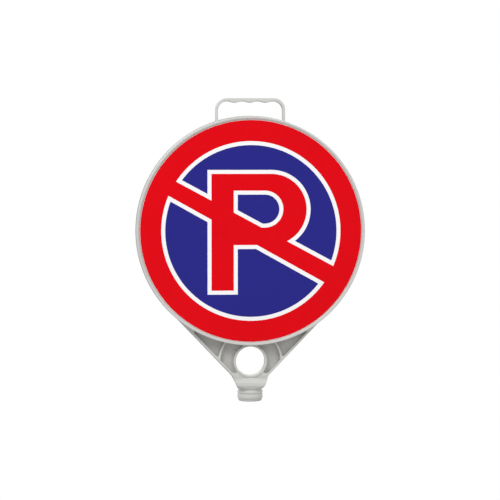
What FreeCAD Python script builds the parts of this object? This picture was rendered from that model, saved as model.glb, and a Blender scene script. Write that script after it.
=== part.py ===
import FreeCAD, Part
import math
import os

from FreeCAD import Vector

# Head of a portable, double-sided no-parking sign, in millimetres.
# +Z is up, the front face looks along -Y, and the origin is on the neck's axis
# at the neck's lower end.  The frame is symmetric about the plane y = 0.
# A one-piece moulded frame carries, on each side, a bonded face panel with a
# white base sheet and cut red and blue films.

# ---- driving dimensions: frame ------------------------------------------------
RIM_R = 198.0              # outside of the rim wall
RIM_HALF_DEPTH = 26.5      # mid-plane to the edge of the lip
RIM_WALL_T = 5.4
LIP_BEVEL_W = 2.6          # bevel on the inner side of the lip
LIP_BEVEL_H = 2.3          # the face lies this far below the edge of the lip
RIM_EDGE_ROUND = 0.8
RIDGE_PROUD = 1.2          # parting ridge stands out of the rim wall
MID_PLATE_T = 3.5          # web and parting ridge, one plate

SEAT_RIB_INSET = 12.2      # outer rib that carries the face panel, in from its edge
HUB_RIB_MID_R = 92.0
RING_RIB_T = 3.0
SPOKE_T = 2.4
SPOKE_COUNT = 12
SPOKE_INNER_R = 14.0

# ---- driving dimensions: yoke below the sign ------------------------------------
YOKE_HEIGHT = 98.7         # rim's lowest point above the neck's lower end
YOKE_HALF_DEPTH = 9.0      # mid-plane to the faces of the rails and curved ribs
RAIL_INSET = 1.2           # rails lie this far inside the rim's own outline
RAIL_T = 3.6
HOLE_R = 25.5
BOSS_WALL_T = 3.7          # boss about the hole, which touches the rim
BOSS_PROUD = 1.0           # boss stands this far out of the yoke's face
ARC_RIB_R = 54.3           # mid radius of the curved ribs, about the hole
ARC_RIB_T = 3.6
POCKET_DROP = 20.8         # lowest level of the moulded pockets, below the hole's centre
POCKET_CORNER_R = 2.5
EDGE_ROUND = 0.7           # mouth of the hole and edge of the boss

# ---- driving dimensions: collar and plug neck ------------------------------------
WAIST_DROP = 25.3          # side rails start to curve into the neck this far below the hole
WAIST_X = 31.3             # and this far from the axis
WAIST_HOLLOW = 0.4         # how far the waist's curve dips inside a straight line
COLLAR_GAP = 0.3           # collar starts to swell this far below the boss
COLLAR_SWELL_Z = 33.0      # front of the collar is upright from here
COLLAR_UNDER_Z = 28.0      # down to here, and turns in to the neck below
COLLAR_HALF_DEPTH = 24.8
COLLAR_SPREAD = 1.9        # growth of the collar's corner radius with height
NECK_R = 22.0              # lands of the plug, which fit a stand's socket
NECK_TOP_Z = 22.0
NECK_GROOVE_DEPTH = 1.4
NECK_TIP_STEP = 1.7        # tip is this much smaller on the radius than the lands
UPPER_LAND_TOP_Z = 17.5
UPPER_LAND_BOTTOM_Z = 14.3
LOWER_LAND_TOP_Z = 11.3
LOWER_LAND_BOTTOM_Z = 6.0
TIP_TAPER_Z = 3.0
TIP_ROUND = 2.2
NECK_WALL_T = 4.5
NECK_BORE_DEPTH = 35.0

# ---- driving dimensions: handle ----------------------------------------------------
HANDLE_RISE = 31.7         # top of the handle above the rim
HANDLE_HALF_WIDTH = 60.2
HANDLE_HALF_DEPTH = 10.0
HANDLE_LEG_T = 4.0
HANDLE_BAR_T = 5.6
HANDLE_FLAT = 0.3          # flat under the bar between the last ridge and the corner
HANDLE_ROUND = 1.7
FINGER_PITCH = 26.8        # distance between the ridges under the bar
FINGER_RIDGE_H = 2.4
FINGER_RIDGES = 3
LEG_FOOT_R = 5.0           # fillet where a leg meets the rim

# ---- driving dimensions: faces -----------------------------------------------------
PANEL_CLEARANCE = 0.4      # face panel to rim wall, on the radius
PANEL_T = 2.0
TAPE_T = 1.0
TAPE_W = 12.0
SHEET_T = 0.4
SHEET_MARGIN = 0.2         # panel shows past the white sheet
FILM_T = 0.2
FILM_MARGIN = 0.4          # white sheet shows past the red film

# ---- driving dimensions: symbol, in the plane of the face, from its centre ----------
RED_RING_W = 36.2
SYMBOL_RING_R = 155.4      # ring that the sizes below are drawn for
LINE_W = 7.0               # white line between red and blue
STEM_LEFT_X = -68.6
STEM_RIGHT_X = -30.2
SYMBOL_TOP_Z = 98.8
SYMBOL_BOTTOM_Z = -102.8
BOWL_BOTTOM_Z = -24.0
BOWL_RIGHT_X = 96.3
COUNTER_TOP_Z = 70.0
COUNTER_BOTTOM_Z = 6.0
COUNTER_RIGHT_X = 55.9
BAR_UPPER_Z = 15.8         # slanting bar's edges: height at x = 0 and slope
BAR_UPPER_SLOPE = 28.3
BAR_LOWER_Z = -18.3
BAR_LOWER_SLOPE = 29.15

# ---- derived values --------------------------------------------------------------------
PLATE_HALF_T = MID_PLATE_T / 2
FACE_Z = YOKE_HEIGHT + RIM_R
FACE_HALF_DEPTH = RIM_HALF_DEPTH - LIP_BEVEL_H
RIDGE_R = RIM_R + RIDGE_PROUD
RECESS_R = RIM_R - RIM_WALL_T
PANEL_R = RECESS_R - PANEL_CLEARANCE
SHEET_R = PANEL_R - SHEET_MARGIN
FILM_R = SHEET_R - FILM_MARGIN
SEAT_RIB_MID_R = PANEL_R - SEAT_RIB_INSET
FILM_BACK_Y = FACE_HALF_DEPTH - FILM_T
SHEET_BACK_Y = FILM_BACK_Y - SHEET_T
PANEL_BACK_Y = SHEET_BACK_Y - PANEL_T
SEAT_Y = PANEL_BACK_Y - TAPE_T
RED_RING_INNER_R = FILM_R - RED_RING_W
SYMBOL_SCALE = RED_RING_INNER_R / SYMBOL_RING_R
BOSS_R = HOLE_R + BOSS_WALL_T
HOLE_Z = YOKE_HEIGHT - BOSS_R
POCKET_FLOOR_Z = HOLE_Z - POCKET_DROP
WAIST_Z = HOLE_Z - WAIST_DROP
COLLAR_TOP_Z = HOLE_Z - BOSS_R - COLLAR_GAP
NECK_GROOVE_R = NECK_R - NECK_GROOVE_DEPTH
NECK_TIP_R = NECK_R - NECK_TIP_STEP
NECK_BORE_R = NECK_R - NECK_WALL_T
HANDLE_TOP_Z = FACE_Z + RIM_R + HANDLE_RISE
OVERLAP = 2.0              # how far fused features run into each other
FRONT = Vector(0, -1, 0)
BACK = Vector(0, 1, 0)
CENTRE = Vector(0, 0, FACE_Z)


def point(x, z):
    """A point in the mid-plane."""
    return Vector(x, 0, z)


def line(start, end):
    return Part.LineSegment(start, end).toShape()


def arc(start, middle, end):
    return Part.Arc(start, middle, end).toShape()


def face_of(edges):
    return Part.Face(Part.Wire(edges))


def disc(radius, x=0.0, z=FACE_Z):
    circle = Part.Circle(point(x, z), BACK, radius)
    return face_of([circle.toShape()])


def slab(face, half_depth):
    """Face of the mid-plane made solid, the same depth to front and back."""
    moved = face.translated(Vector(0, -half_depth, 0))
    return moved.extrude(Vector(0, 2 * half_depth, 0))


def layer(face, back_y, thickness):
    """Face of the mid-plane made a sheet on the front side of the sign."""
    moved = face.translated(Vector(0, -back_y, 0))
    return moved.extrude(FRONT * thickness)


def both_sides(shape):
    turned = shape.copy()
    turned.rotate(Vector(0, 0, 0), Vector(0, 0, 1), 180)
    return [shape, turned]


def rounded(shape, radius, wanted):
    """Fillet the edges that the test picks."""
    return shape.makeFillet(radius, [edge for edge in shape.Edges if wanted(edge)])


def on_face_plane(edge, half_depth):
    """True for an edge that lies in the plane y = +half_depth or -half_depth."""
    box = edge.BoundBox
    flat = box.YLength < 1e-6
    return flat and abs(abs(box.YMin) - half_depth) < 1e-6


# ---- outline shared by the rim, the side rails and the collar ------------------------------
def rail_lean():
    """Angle between a side rail and the vertical: it touches the rim and meets the waist."""
    rise = FACE_Z - WAIST_Z
    return math.atan2(rise, WAIST_X) - math.acos((RIM_R - RAIL_INSET) / math.hypot(rise, WAIST_X))


def rail_x(distance, z):
    """Half width at height z of the side line at that distance from the sign's centre."""
    lean = rail_lean()
    return (distance - (FACE_Z - z) * math.sin(lean)) / math.cos(lean)


def teardrop(proud):
    """Round top with tangent side rails that run down into the neck, grown by that much."""
    lean = rail_lean()
    radius = RIM_R - RAIL_INSET + proud
    touch_x = radius * math.cos(lean)
    touch_z = FACE_Z - radius * math.sin(lean)
    waist_x = rail_x(radius, WAIST_Z)
    middle_x = (WAIST_X + NECK_R + proud) / 2 - WAIST_HOLLOW
    middle_z = (WAIST_Z + NECK_TOP_Z) / 2
    top = point(0, FACE_Z + radius)
    edges = [arc(point(-touch_x, touch_z), top, point(touch_x, touch_z))]
    edges.append(line(point(touch_x, touch_z), point(waist_x, WAIST_Z)))
    edges.append(arc(point(waist_x, WAIST_Z), point(middle_x, middle_z), point(NECK_R, NECK_TOP_Z)))
    edges.append(line(point(NECK_R, NECK_TOP_Z), point(-NECK_R, NECK_TOP_Z)))
    edges.append(arc(point(-NECK_R, NECK_TOP_Z), point(-middle_x, middle_z), point(-waist_x, WAIST_Z)))
    edges.append(line(point(-waist_x, WAIST_Z), point(-touch_x, touch_z)))
    return face_of(edges)


# ---- frame ---------------------------------------------------------------------------------
def mid_plate():
    """Web of the sign and the yoke, standing out of the walls as the parting ridge."""
    outline = slab(teardrop(RIDGE_PROUD), PLATE_HALF_T)
    return outline.fuse(slab(disc(RIDGE_R), PLATE_HALF_T)).removeSplitter()


def rim():
    """Round wall with a bevelled lip on each side."""
    lip_r = RECESS_R + LIP_BEVEL_W
    profile = [(RIM_R, -RIM_HALF_DEPTH), (RIM_R, RIM_HALF_DEPTH), (lip_r, RIM_HALF_DEPTH),
               (RECESS_R, FACE_HALF_DEPTH), (RECESS_R, -FACE_HALF_DEPTH), (lip_r, -RIM_HALF_DEPTH)]
    points = [Vector(radius, y, FACE_Z) for radius, y in profile]
    section = Part.Face(Part.makePolygon(points + points[:1]))
    wall = section.revolve(CENTRE, BACK, 360)

    def lip_edge(edge):
        return on_face_plane(edge, RIM_HALF_DEPTH)

    return rounded(wall, RIM_EDGE_ROUND, lip_edge)


def panel_ribs():
    """Ring ribs and spokes inside the rim, which the face panels are bonded to."""
    rib_faces = []
    for middle in (SEAT_RIB_MID_R, HUB_RIB_MID_R):
        rib_faces.append(disc(middle + RING_RIB_T / 2).cut(disc(middle - RING_RIB_T / 2)))
    length = RECESS_R + OVERLAP - SPOKE_INNER_R
    ribs = [slab(face, SEAT_Y) for face in rib_faces]
    for number in range(SPOKE_COUNT):
        corner = Vector(SPOKE_INNER_R, -SEAT_Y, FACE_Z - SPOKE_T / 2)
        spoke = Part.makeBox(length, 2 * SEAT_Y, SPOKE_T, corner)
        spoke.rotate(CENTRE, BACK, (number + 0.5) * 360 / SPOKE_COUNT)
        ribs.append(spoke)
    hub = slab(disc(SPOKE_INNER_R + RING_RIB_T).cut(disc(SPOKE_INNER_R)), SEAT_Y)
    return ribs + [hub]


def pocket_faces():
    """Outlines of the moulded pockets of the yoke, with rounded corners."""
    inside = RIM_R - RAIL_INSET - RAIL_T
    lowest_x = rail_x(inside, POCKET_FLOOR_Z)
    highest_x = rail_x(inside, FACE_Z)
    corners = [point(-lowest_x, POCKET_FLOOR_Z), point(lowest_x, POCKET_FLOOR_Z),
               point(highest_x, FACE_Z), point(-highest_x, FACE_Z)]
    region = Part.Face(Part.makePolygon(corners + corners[:1]))
    region = region.cut(disc(RIM_R))
    region = region.cut(disc(BOSS_R, z=HOLE_Z))
    rib_outer = disc(ARC_RIB_R + ARC_RIB_T / 2, z=HOLE_Z)
    region = region.cut(rib_outer.cut(disc(ARC_RIB_R - ARC_RIB_T / 2, z=HOLE_Z)))
    below = [face for face in region.Faces if face.CenterOfMass.z < FACE_Z - RIM_R / 2]
    return [face.makeOffset2D(-POCKET_CORNER_R).makeOffset2D(POCKET_CORNER_R) for face in below]


def yoke():
    """Side rails, curved ribs and collar, hollowed from both sides down to the web."""
    block = slab(teardrop(0), COLLAR_HALF_DEPTH).common(side_outline())
    block = block.cut(slab(disc(RIM_R - OVERLAP), RIM_HALF_DEPTH))
    for face in pocket_faces():
        pocket = layer(face, PLATE_HALF_T, RIM_HALF_DEPTH)
        for piece in both_sides(pocket):
            block = block.cut(piece)
    return block.cut(collar_corners())


def side_outline():
    """What the yoke keeps when seen from the side: thin above, swelling at the collar."""
    halfway_y = (YOKE_HALF_DEPTH + COLLAR_HALF_DEPTH) / 2
    halfway_z = (COLLAR_TOP_Z + COLLAR_SWELL_Z) / 2
    bow = (COLLAR_TOP_Z - COLLAR_SWELL_Z) / 3
    half = [(YOKE_HALF_DEPTH, FACE_Z), (YOKE_HALF_DEPTH, COLLAR_TOP_Z),
            (halfway_y + bow, halfway_z + bow), (COLLAR_HALF_DEPTH, COLLAR_SWELL_Z),
            (COLLAR_HALF_DEPTH, COLLAR_UNDER_Z), (NECK_R, NECK_TOP_Z)]
    right = [Vector(0, y, z) for y, z in half]
    left = [Vector(0, -y, z) for y, z in half]
    edges = []
    for side in (right, left):
        edges += [line(side[0], side[1]), arc(*side[1:4]), line(side[3], side[4]), line(side[4], side[5])]
    edges += [line(right[5], left[5]), line(left[0], right[0])]
    section = Part.Face(Part.Wire(Part.__sortEdges__(edges)))
    return section.translated(Vector(-RIM_R, 0, 0)).extrude(Vector(2 * RIM_R, 0, 0))


def collar_corners():
    """What is taken off the collar so that it passes from square to round."""
    height = COLLAR_TOP_Z - NECK_TOP_Z
    foot = Vector(0, 0, NECK_TOP_Z)
    cone = Part.makeCone(NECK_R, NECK_R + COLLAR_SPREAD * height, height, foot)
    return Part.makeCylinder(RIM_R, height, foot).cut(cone)


def neck():
    """Plug neck with two lands, hollow from below."""
    lower_groove_z = (UPPER_LAND_BOTTOM_Z + LOWER_LAND_TOP_Z) / 2
    inside_r = NECK_GROOVE_R - OVERLAP
    outside = [(0, NECK_TOP_Z + OVERLAP), (inside_r, NECK_TOP_Z + OVERLAP), (NECK_R, NECK_TOP_Z),
               (NECK_GROOVE_R, NECK_TOP_Z - NECK_GROOVE_DEPTH),
               (NECK_GROOVE_R, UPPER_LAND_TOP_Z + NECK_GROOVE_DEPTH / 2),
               (NECK_R, UPPER_LAND_TOP_Z), (NECK_R, UPPER_LAND_BOTTOM_Z),
               (NECK_GROOVE_R, lower_groove_z), (NECK_R, LOWER_LAND_TOP_Z), (NECK_R, LOWER_LAND_BOTTOM_Z),
               (NECK_TIP_R, TIP_TAPER_Z), (NECK_TIP_R, 0), (0, 0)]
    points = [Vector(radius, 0, z) for radius, z in outside]
    section = Part.Face(Part.makePolygon(points + points[:1]))
    plug = section.revolve(Vector(0, 0, 0), Vector(0, 0, 1), 360)

    def tip_edge(edge):
        return edge.BoundBox.ZMax < 1e-6 and edge.BoundBox.XLength > NECK_TIP_R

    return rounded(plug, TIP_ROUND, tip_edge)


def handle():
    """Strap handle with finger ridges under its bar, grown out of the rim."""
    outer_x = HANDLE_HALF_WIDTH
    inner_x = outer_x - HANDLE_LEG_T
    reach = FINGER_PITCH * FINGER_RIDGES / 2
    outer_r = outer_x - reach - HANDLE_FLAT
    inner_r = outer_r - HANDLE_LEG_T
    under_z = HANDLE_TOP_Z - HANDLE_BAR_T
    foot_z = FACE_Z + math.sqrt(RIM_R ** 2 - outer_x ** 2) - OVERLAP
    toe_z = foot_z + OVERLAP + LEG_FOOT_R
    slant = math.sqrt(0.5)

    def corner(side, half_x, top_z, radius):
        start = point(side * half_x, top_z - radius)
        middle = point(side * (half_x - radius * (1 - slant)), top_z - radius * (1 - slant))
        return [start, middle, point(side * (half_x - radius), top_z)]

    left_out = corner(-1, outer_x, HANDLE_TOP_Z, outer_r)
    right_out = corner(1, outer_x, HANDLE_TOP_Z, outer_r)
    left_in = corner(-1, inner_x, under_z, inner_r)
    right_in = corner(1, inner_x, under_z, inner_r)

    steps = 8 * FINGER_RIDGES
    wave = []
    for step in range(steps + 1):
        x = reach - 2 * reach * step / steps
        swell = 1 + math.cos(2 * math.pi * x / FINGER_PITCH)
        wave.append(point(x, under_z - FINGER_RIDGE_H * swell / 2))
    ridges = Part.BSplineCurve()
    ridges.interpolate(wave)

    def foot(side):
        """Fillet on the inner side of a leg, then the leg's end inside the rim."""
        toe = point(side * inner_x, toe_z)
        heel_x = inner_x - LEG_FOOT_R
        heel = point(side * heel_x, toe_z - LEG_FOOT_R)
        middle = point(side * (heel_x + LEG_FOOT_R * slant), toe_z - LEG_FOOT_R * slant)
        low_in = point(side * heel_x, foot_z)
        low_out = point(side * outer_x, foot_z)
        return toe, middle, heel, low_in, low_out

    toe_l, fillet_l, heel_l, low_in_l, low_out_l = foot(-1)
    toe_r, fillet_r, heel_r, low_in_r, low_out_r = foot(1)
    edges = [line(low_out_l, left_out[0]), arc(*left_out), line(left_out[2], right_out[2])]
    edges += [arc(*reversed(right_out)), line(right_out[0], low_out_r), line(low_out_r, low_in_r)]
    edges += [line(low_in_r, heel_r), arc(heel_r, fillet_r, toe_r), line(toe_r, right_in[0])]
    edges += [arc(*right_in), line(right_in[2], wave[0]), ridges.toShape(), line(wave[-1], left_in[2])]
    edges += [arc(*reversed(left_in)), line(left_in[0], toe_l), arc(toe_l, fillet_l, heel_l)]
    edges += [line(heel_l, low_in_l), line(low_in_l, low_out_l)]
    strap = slab(face_of(edges), HANDLE_HALF_DEPTH)

    def long_edge(edge):
        return on_face_plane(edge, HANDLE_HALF_DEPTH) and edge.BoundBox.ZMax > toe_z - LEG_FOOT_R + 1e-3

    strap = rounded(strap, HANDLE_ROUND, long_edge)
    return strap.cut(slab(disc(RIM_R - OVERLAP / 2), HANDLE_HALF_DEPTH + 1))


def hole_cutter():
    """Round hole through the yoke, with eased edges."""
    depth = YOKE_HALF_DEPTH + BOSS_PROUD
    bore = slab(disc(HOLE_R, z=HOLE_Z), RIM_HALF_DEPTH)
    mouth_at = Vector(0, -depth, HOLE_Z)
    mouth = Part.makeCone(HOLE_R + EDGE_ROUND, HOLE_R, EDGE_ROUND, mouth_at, BACK)
    return bore.fuse(both_sides(mouth))


def boss():
    """Round boss about the hole, standing out of the yoke's face."""
    depth = YOKE_HALF_DEPTH + BOSS_PROUD
    ring = slab(disc(BOSS_R, z=HOLE_Z), depth)
    ring = rounded(ring, EDGE_ROUND, lambda edge: on_face_plane(edge, depth))
    return ring.cut(slab(disc(RIM_R - OVERLAP), RIM_HALF_DEPTH))


def sign_frame():
    features = [rim(), yoke(), boss(), neck(), handle()] + panel_ribs()
    body = mid_plate().fuse(features).cut(hole_cutter())
    neck_bore = Part.makeCylinder(NECK_BORE_R, NECK_BORE_DEPTH)
    return body.cut(neck_bore).removeSplitter()


# ---- symbol ----------------------------------------------------------------------------------
def upright(grow):
    """Outline of the upright stem and its bowl, grown outward by that much."""
    left = STEM_LEFT_X - grow
    right = STEM_RIGHT_X + grow
    top = SYMBOL_TOP_Z + grow
    bottom = SYMBOL_BOTTOM_Z - grow
    under = BOWL_BOTTOM_Z - grow
    radius = (top - under) / 2
    bowl_x = BOWL_RIGHT_X + grow - radius
    middle = (top + under) / 2
    corners = [point(bowl_x, under), point(right, under), point(right, bottom),
               point(left, bottom), point(left, top), point(bowl_x, top)]
    edges = [line(start, end) for start, end in zip(corners, corners[1:])]
    edges.append(arc(corners[-1], point(bowl_x + radius, middle), corners[0]))
    return at_face(face_of(edges))


def counter(shrink):
    """Opening of the bowl, shrunk inward by that much."""
    left = STEM_RIGHT_X + shrink
    top = COUNTER_TOP_Z - shrink
    bottom = COUNTER_BOTTOM_Z + shrink
    radius = (top - bottom) / 2
    bend_x = COUNTER_RIGHT_X - shrink - radius
    corners = [point(bend_x, bottom), point(left, bottom), point(left, top), point(bend_x, top)]
    edges = [line(start, end) for start, end in zip(corners, corners[1:])]
    edges.append(arc(corners[-1], point(bend_x + radius, (top + bottom) / 2), corners[0]))
    return at_face(face_of(edges))


def slanting_bar(grow):
    """Bar that falls to the right, grown outward by that much, out to the ring."""
    reach = SYMBOL_RING_R + RED_RING_W
    upper = math.radians(BAR_UPPER_SLOPE)
    lower = math.radians(BAR_LOWER_SLOPE)
    upper_z = BAR_UPPER_Z + grow / math.cos(upper)
    lower_z = BAR_LOWER_Z - grow / math.cos(lower)
    upper_fall = reach * math.tan(upper)
    lower_fall = reach * math.tan(lower)
    corners = [point(-reach, upper_z + upper_fall), point(reach, upper_z - upper_fall),
               point(reach, lower_z - lower_fall), point(-reach, lower_z + lower_fall)]
    return at_face(Part.Face(Part.makePolygon(corners + corners[:1])))


def at_face(face):
    """Fit a symbol outline to the red ring and move it to the sign's centre."""
    return face.scaled(SYMBOL_SCALE).translated(CENTRE)


def red_film():
    """Ring, bar and letter as one cut film."""
    ring = disc(FILM_R).cut(disc(RED_RING_INNER_R))
    bar = slanting_bar(0).common(disc(FILM_R - RED_RING_W / 2))
    letter = upright(0).cut(counter(0))
    whole, *others = [layer(face, FILM_BACK_Y, FILM_T) for face in (ring, bar, letter)]
    return whole.fuse(others).removeSplitter()


def blue_faces():
    """Blue fields: above the bar, inside the bowl and below the bar."""
    field = disc(RED_RING_INNER_R - LINE_W * SYMBOL_SCALE)
    letter = upright(LINE_W).cut(counter(LINE_W))
    field = field.cut(slanting_bar(LINE_W)).cut(letter)
    fields = sorted(field.Faces, key=lambda face: face.Area)
    inside = fields[0]
    below, above = sorted(fields[1:], key=lambda face: face.CenterOfMass.z)
    return {"blue_upper_film": above, "blue_bowl_film": inside, "blue_lower_film": below}


def tape_ring(middle_r):
    return disc(middle_r + TAPE_W / 2).cut(disc(middle_r - TAPE_W / 2))


def face_layers():
    """Everything bonded to the front of the frame, from the ribs outward."""
    layers = {
        "rim_tape": layer(tape_ring(SEAT_RIB_MID_R), SEAT_Y, TAPE_T),
        "hub_tape": layer(tape_ring(HUB_RIB_MID_R), SEAT_Y, TAPE_T),
        "face_panel": layer(disc(PANEL_R), PANEL_BACK_Y, PANEL_T),
        "white_sheet": layer(disc(SHEET_R), SHEET_BACK_Y, SHEET_T),
        "red_film": red_film(),
    }
    for name, face in blue_faces().items():
        layers[name] = layer(face, FILM_BACK_Y, FILM_T)
    return layers


# ---- output ------------------------------------------------------------------------------------
os.makedirs("parts", exist_ok=True)
nodes = {"sign_frame": sign_frame()}
for name, front_layer in face_layers().items():
    front, rear = both_sides(front_layer)
    nodes["front_" + name] = front
    nodes["rear_" + name] = rear
for name, shape in nodes.items():
    shape.exportStep("parts/" + name + ".step")
    print(name, "solids", len(shape.Solids), "valid", shape.isValid(), "cm3", round(shape.Volume / 1000, 1))
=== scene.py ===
import math

import bmesh
import bpy
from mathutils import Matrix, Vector


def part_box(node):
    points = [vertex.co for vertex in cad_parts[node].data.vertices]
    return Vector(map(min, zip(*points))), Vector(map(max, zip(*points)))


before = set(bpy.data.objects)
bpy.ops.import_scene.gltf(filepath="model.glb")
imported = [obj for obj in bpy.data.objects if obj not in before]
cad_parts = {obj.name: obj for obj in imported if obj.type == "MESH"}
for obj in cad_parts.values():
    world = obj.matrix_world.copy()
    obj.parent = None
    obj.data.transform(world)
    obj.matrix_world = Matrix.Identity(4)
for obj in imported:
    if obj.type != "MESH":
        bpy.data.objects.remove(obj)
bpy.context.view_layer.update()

# Lengths are metres, angles degrees and colours linear, unless a comment says otherwise.

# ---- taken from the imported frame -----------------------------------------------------
panel_low, panel_high = (Vector(corner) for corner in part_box("front_face_panel"))
FACE_CENTRE = Vector((0, 0, (panel_low.z + panel_high.z) / 2))

# ---- the view --------------------------------------------------------------------------
VIEW_AZIMUTH = 4.8         # the camera stands this far to the left of straight ahead
VIEW_ELEVATION = 2.9       # and this far above level
VIEW_DISTANCE = 3.5
VIEW_WIDTH = 0.87          # width seen at the object's mid-plane
AIM_BELOW_FACE = 0.0339    # the view's centre lies this far below the sign's centre
SENSOR_MM = 36.0

# ---- studio ------------------------------------------------------------------------------
FLOOR_RADIUS = 60.0
FLOOR_SIDES = 64
FLOOR_ALBEDO = 0.55
STUDIO_WHITE = 1.0         # brightness of the surroundings as seen
STUDIO_FILL = 0.64         # brightness of the surroundings as light on the object
SOFTBOXES = {              # place, diameter and watts
    "front_left_light": ((-1.7, -2.2, 2.7), 1.5, 57),
    "front_right_light": ((1.5, -2.6, 2.0), 1.8, 22),
    "rear_left_light": ((-1.5, 2.6, 2.2), 1.6, 44),
    "rear_right_light": ((1.5, 2.6, 2.2), 1.6, 34),
}

# ---- finishes ------------------------------------------------------------------------------
PLASTIC_GREY = (0.58, 0.58, 0.557)
FILM_RED = (0.735, 0.0, 0.005)
FILM_BLUE = (0.021, 0.021, 0.235)
SHEET_WHITE = (0.93, 0.93, 0.93)
TAPE_BLACK = (0.03, 0.03, 0.032)
PANEL_WHITE = (0.8, 0.8, 0.79)
CLEAN = (1, 1, 1)          # a tint that changes nothing

FLOW_SHADE = 0.035         # share by which the plastic's grey varies
EDGE_ROUNDING = 0.0009     # radius that the moulding's edges seem to have
SCUFF_ROUGHNESS = 0.14     # added to the roughness where the plastic is scuffed

PAINTED_SHADE_REACH = 0.02          # how far off a wall still shuts a spot in the painted shade
# painted shade in the moulding's corners and grooves
CORNER_SHADE_TINT = (0.97, 0.97, 0.97)
CORNER_SHADE_OPENNESS = (0.3, 0.9)      # darkest painted shade at the first, none from the second
# painted shade on the floors of the yoke's moulded pockets
POCKET_SHADE_TINT = (0.84, 0.84, 0.84)
POCKET_SHADE_OPENNESS = (0.86, 0.99)   # inside a pocket at the first, out of it at the second
WEB_HALF_T = 0.00175       # half of the yoke's web, the floor of its moulded pockets
WEB_FADE = (1.05, 1.6)     # the pocket's painted shade fades between these times WEB_HALF_T

CELLS_PER_METRE = 260.0    # of the retroreflective sheet
CELL_TURN = 45.0           # the square cells stand on their corners
SEAM_EDGE = (0.03, 0.09)   # a cell's seam ends between these shares of its width
SEAM_TINT = (0.93, 0.93, 0.93)
FILM_SHADE = 0.025         # share by which a film's colour varies
FILM_ROUGHNESS = 0.32
FILM_SPECULAR = 0.09


# ---- material building blocks --------------------------------------------------------------
class Finish:
    """A material under construction, with short calls for the nodes it needs."""

    def __init__(self, name, colour, roughness):
        self.material = bpy.data.materials.new(name)
        self.material.use_nodes = True
        self.tree = self.material.node_tree
        self.shader = self.tree.nodes["Principled BSDF"]
        self.set("Base Color", (*colour, 1))
        self.set("Roughness", roughness)
        self.place = self.node("ShaderNodeTexCoord").outputs["Object"]

    def node(self, kind):
        return self.tree.nodes.new(kind)

    def link(self, source, target):
        self.tree.links.new(source, target)

    def set(self, socket, value):
        """Give the shader's own socket one value for the whole surface."""
        self.shader.inputs[socket].default_value = value

    def feed(self, socket, source):
        """Let nodes drive one of the shader's sockets."""
        self.link(source, self.shader.inputs[socket])

    def mapped(self, turn=(0, 0, 0), stretch=(1, 1, 1)):
        """Object coordinates, turned and stretched."""
        mapping = self.node("ShaderNodeMapping")
        mapping.inputs["Rotation"].default_value = turn
        mapping.inputs["Scale"].default_value = stretch
        self.link(self.place, mapping.inputs["Vector"])
        return mapping.outputs["Vector"]

    def noise(self, scale, detail=3.0, stretch=(1, 1, 1)):
        """Noise over the piece, from 0 to 1."""
        noise = self.node("ShaderNodeTexNoise")
        noise.inputs["Scale"].default_value = scale
        noise.inputs["Detail"].default_value = detail
        self.link(self.mapped(stretch=stretch), noise.inputs["Vector"])
        return noise.outputs["Fac"]

    def remap(self, value, before, after):
        """Value that goes from one end of after to the other as it crosses before."""
        node = self.node("ShaderNodeMapRange")
        self.link(value, node.inputs["Value"])
        node.inputs["From Min"].default_value, node.inputs["From Max"].default_value = before
        node.inputs["To Min"].default_value, node.inputs["To Max"].default_value = after
        return node.outputs["Result"]

    def ramp(self, value, start, end):
        """Colour that follows a value, from one (position, colour) stop to another."""
        node = self.node("ShaderNodeValToRGB")
        for stop, (position, colour) in zip(node.color_ramp.elements, (start, end)):
            stop.position = position
            stop.color = (*colour, 1)
        self.link(value, node.inputs["Fac"])
        return node.outputs["Color"]

    def off_mid_plane(self):
        """Distance from the object's mid-plane, to either side."""
        split = self.node("ShaderNodeSeparateXYZ")
        self.link(self.place, split.inputs["Vector"])
        distance = self.node("ShaderNodeMath")
        distance.operation = "ABSOLUTE"
        self.link(split.outputs["Y"], distance.inputs[0])
        return distance.outputs["Value"]

    def math(self, operation, first, second):
        node = self.node("ShaderNodeMath")
        node.operation = operation
        self.link(first, node.inputs[0])
        self.link(second, node.inputs[1])
        return node.outputs["Value"]

    def multiply(self, first, second):
        """One colour tinted by another."""
        node = self.node("ShaderNodeVectorMath")
        node.operation = "MULTIPLY"
        self.link(first, node.inputs[0])
        self.link(second, node.inputs[1])
        return node.outputs["Vector"]

    def bump(self, height, distance, strength, under=None):
        """Relief, on top of another node's relief where one is given."""
        node = self.node("ShaderNodeBump")
        node.inputs["Distance"].default_value = distance
        node.inputs["Strength"].default_value = strength
        self.link(height, node.inputs["Height"])
        if under is not None:
            self.link(under, node.inputs["Normal"])
        return node.outputs["Normal"]


def mottled(finish, noise, colour, share):
    """A colour that gets darker and lighter by a share, following a noise."""
    darker = tuple(channel * (1 - share) for channel in colour)
    lighter = tuple(channel * (1 + share) for channel in colour)
    return finish.ramp(noise, (0.3, darker), (0.7, lighter))


# ---- finishes, one function each -----------------------------------------------------------
def recess_painted_shade(finish):
    """Painted shade as a tint of the moulding's corners and pocket floors: white outside, grey
    inside.
    """
    shut_in = finish.node("ShaderNodeAmbientOcclusion")
    shut_in.samples = 16
    shut_in.inputs["Distance"].default_value = PAINTED_SHADE_REACH
    openness = shut_in.outputs["AO"]
    fade = tuple(WEB_HALF_T * times for times in WEB_FADE)
    on_web = finish.remap(finish.off_mid_plane(), fade, (1.0, 0.0))
    walled = finish.remap(openness, POCKET_SHADE_OPENNESS, (1.0, 0.0))
    in_pocket = finish.math("MULTIPLY", on_web, walled)
    # painted shade on the pocket floors
    pocket = finish.ramp(in_pocket, (0.0, CLEAN), (1.0, POCKET_SHADE_TINT))
    most_shaded, clean = CORNER_SHADE_OPENNESS
    # painted shade in corners and grooves
    corners = finish.ramp(openness, (most_shaded, CORNER_SHADE_TINT), (clean, CLEAN))
    return finish.multiply(corners, pocket)


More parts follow.
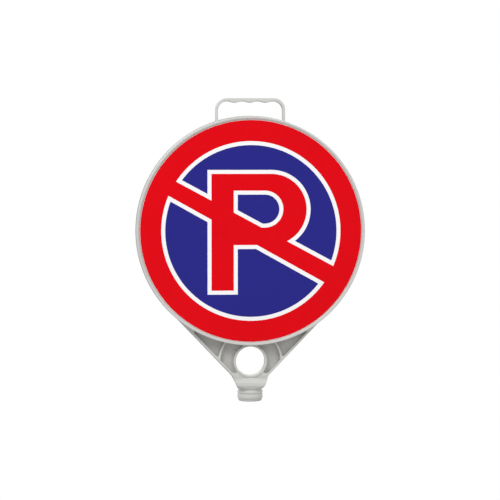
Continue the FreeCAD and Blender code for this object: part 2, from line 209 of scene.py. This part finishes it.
def moulded_plastic():
    """Light grey moulded plastic: spark grain, flow shading, painted shade in recesses, rubbed
    edges and fine scuffs.
    """
    finish = Finish("moulded_grey_plastic", PLASTIC_GREY, roughness=0.5)
    flow = finish.noise(scale=14.0, detail=2.0, stretch=(1, 1, 0.45))
    base = mottled(finish, flow, PLASTIC_GREY, FLOW_SHADE)
    # the grey carries painted shade in its corners and on its pocket floors
    finish.feed("Base Color", finish.multiply(base, recess_painted_shade(finish)))

    streaks = finish.noise(scale=220.0, detail=4.0, stretch=(0.12, 1, 1))
    scuffs = finish.ramp(streaks, (0.60, (0, 0, 0)), (0.72, (1, 1, 1)))
    patches = finish.remap(finish.noise(scale=11.0), (0.5, 0.65), (0.0, 1.0))
    wear = finish.math("MULTIPLY", scuffs, patches)
    rough = finish.remap(finish.noise(scale=60.0), (0.3, 0.7), (0.44, 0.56))
    rubbed = finish.remap(wear, (0.0, 1.0), (0.0, SCUFF_ROUGHNESS))
    finish.feed("Roughness", finish.math("ADD", rough, rubbed))

    edges = finish.node("ShaderNodeBevel")
    edges.samples = 6
    edges.inputs["Radius"].default_value = EDGE_ROUNDING
    rounded = edges.outputs["Normal"]
    spark = finish.noise(scale=2600.0, detail=2.0)
    grain = finish.bump(spark, distance=0.00004, strength=0.5, under=rounded)
    waves = finish.bump(finish.noise(scale=30.0), distance=0.0004, strength=0.25, under=grain)
    finish.feed("Normal", waves)
    return finish.material


def cell_seams(finish):
    """Sealed cells of the retroreflective sheet: 0 in a cell, 1 on the seams between them."""
    cell = finish.node("ShaderNodeTexVoronoi")
    cell.feature = "DISTANCE_TO_EDGE"
    cell.inputs["Scale"].default_value = CELLS_PER_METRE
    cell.inputs["Randomness"].default_value = 0.0
    finish.link(finish.mapped(turn=(0, math.radians(CELL_TURN), 0)), cell.inputs["Vector"])
    return finish.remap(cell.outputs["Distance"], SEAM_EDGE, (1.0, 0.0))


def film(name, colour):
    """Coloured overlay film on retroreflective sheet."""
    finish = Finish(name, colour, FILM_ROUGHNESS)
    patches = mottled(finish, finish.noise(scale=9.0), colour, FILM_SHADE)
    seams = cell_seams(finish)
    quilted = finish.ramp(seams, (0.0, CLEAN), (1.0, SEAM_TINT))
    finish.feed("Base Color", finish.multiply(patches, quilted))

    roughness = (FILM_ROUGHNESS - 0.04, FILM_ROUGHNESS + 0.05)
    finish.feed("Roughness", finish.remap(finish.noise(scale=40.0), (0.3, 0.7), roughness))
    finish.set("Specular IOR Level", FILM_SPECULAR)

    skin = finish.bump(finish.noise(scale=900.0), distance=0.00002, strength=0.4)
    finish.feed("Normal", finish.bump(seams, distance=0.00002, strength=0.4, under=skin))
    return finish.material


def foam_tape():
    """Black foam of the bonding tapes, with open pores."""
    finish = Finish("foam_tape", TAPE_BLACK, roughness=0.85)
    pores = finish.noise(scale=1500.0)
    finish.feed("Normal", finish.bump(pores, distance=0.0002, strength=0.6))
    return finish.material


def panel_plastic():
    """Pale plastic of the face panels, with a fine extruded skin."""
    finish = Finish("panel_plastic", PANEL_WHITE, roughness=0.45)
    skin = finish.noise(scale=700.0)
    finish.feed("Normal", finish.bump(skin, distance=0.00005, strength=0.4))
    return finish.material


def dress_cad_nodes():
    """Give each piece the finish whose key is in the piece's name."""
    finishes = {
        "frame": moulded_plastic(),
        "tape": foam_tape(),
        "panel": panel_plastic(),
        "white": film("white_reflective_sheet", SHEET_WHITE),
        "red": film("red_overlay_film", FILM_RED),
        "blue": film("blue_overlay_film", FILM_BLUE),
    }
    for name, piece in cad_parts.items():
        chosen = next(material for key, material in finishes.items() if key in name)
        for slot in piece.material_slots:
            slot.material = chosen


# ---- studio ----------------------------------------------------------------------------------
def seen_or_fill(tree, seen, fill, output):
    """One shader for what the camera sees, another for the light that reaches the object."""
    path = tree.nodes.new("ShaderNodeLightPath")
    chosen = tree.nodes.new("ShaderNodeMixShader")
    tree.links.new(path.outputs["Is Camera Ray"], chosen.inputs["Fac"])
    tree.links.new(fill, chosen.inputs[1])
    tree.links.new(seen, chosen.inputs[2])
    tree.links.new(chosen.outputs["Shader"], output)


def floor():
    """Plain round floor, seen white and greyer as light on the object's underside."""
    mesh = bmesh.new()
    bmesh.ops.create_circle(mesh, cap_ends=True, segments=FLOOR_SIDES, radius=FLOOR_RADIUS)
    data = bpy.data.meshes.new("floor")
    mesh.to_mesh(data)
    mesh.free()
    ground = bpy.data.objects.new("floor", data)
    bpy.context.collection.objects.link(ground)

    finish = Finish("studio_floor", (FLOOR_ALBEDO, FLOOR_ALBEDO, FLOOR_ALBEDO), roughness=0.9)
    white = finish.node("ShaderNodeEmission")
    white.inputs["Strength"].default_value = STUDIO_WHITE
    seen_or_fill(finish.tree, white.outputs["Emission"], finish.shader.outputs["BSDF"],
                 finish.tree.nodes["Material Output"].inputs["Surface"])
    data.materials.append(finish.material)


def surroundings():
    """Plain white surroundings, dimmer as light than they are seen."""
    world = bpy.data.worlds.new("studio")
    bpy.context.scene.world = world
    world.use_nodes = True
    tree = world.node_tree
    seen = tree.nodes["Background"]
    fill = tree.nodes.new("ShaderNodeBackground")
    for background, strength in ((seen, STUDIO_WHITE), (fill, STUDIO_FILL)):
        background.inputs["Color"].default_value = (1, 1, 1, 1)
        background.inputs["Strength"].default_value = strength
    seen_or_fill(tree, seen.outputs["Background"], fill.outputs["Background"],
                 tree.nodes["World Output"].inputs["Surface"])


def softbox(name, where, diameter, watts):
    """Round soft light that points at the sign's centre."""
    lamp = bpy.data.lights.new(name, "AREA")
    lamp.shape = "DISK"
    lamp.size = diameter
    lamp.energy = watts
    holder = bpy.data.objects.new(name, lamp)
    holder.location = where
    holder.rotation_euler = (FACE_CENTRE - Vector(where)).to_track_quat("-Z", "Y").to_euler()
    bpy.context.collection.objects.link(holder)


def camera():
    """Camera a little to the left of straight ahead and a little above the aim point."""
    azimuth = math.radians(VIEW_AZIMUTH)
    elevation = math.radians(VIEW_ELEVATION)
    level = math.cos(elevation)
    away = Vector((-math.sin(azimuth) * level, -math.cos(azimuth) * level, math.sin(elevation)))
    data = bpy.data.cameras.new("camera")
    data.sensor_width = SENSOR_MM
    data.lens = SENSOR_MM * VIEW_DISTANCE / VIEW_WIDTH
    data.clip_end = 2 * FLOOR_RADIUS
    eye = bpy.data.objects.new("camera", data)
    eye.location = FACE_CENTRE - Vector((0, 0, AIM_BELOW_FACE)) + away * VIEW_DISTANCE
    eye.rotation_euler = (-away).to_track_quat("-Z", "Y").to_euler()
    bpy.context.collection.objects.link(eye)
    bpy.context.scene.camera = eye


bpy.context.scene.view_settings.view_transform = "Standard"
camera()
dress_cad_nodes()
floor()
surroundings()
for light_name, (place, diameter, watts) in SOFTBOXES.items():
    softbox(light_name, place, diameter, watts)
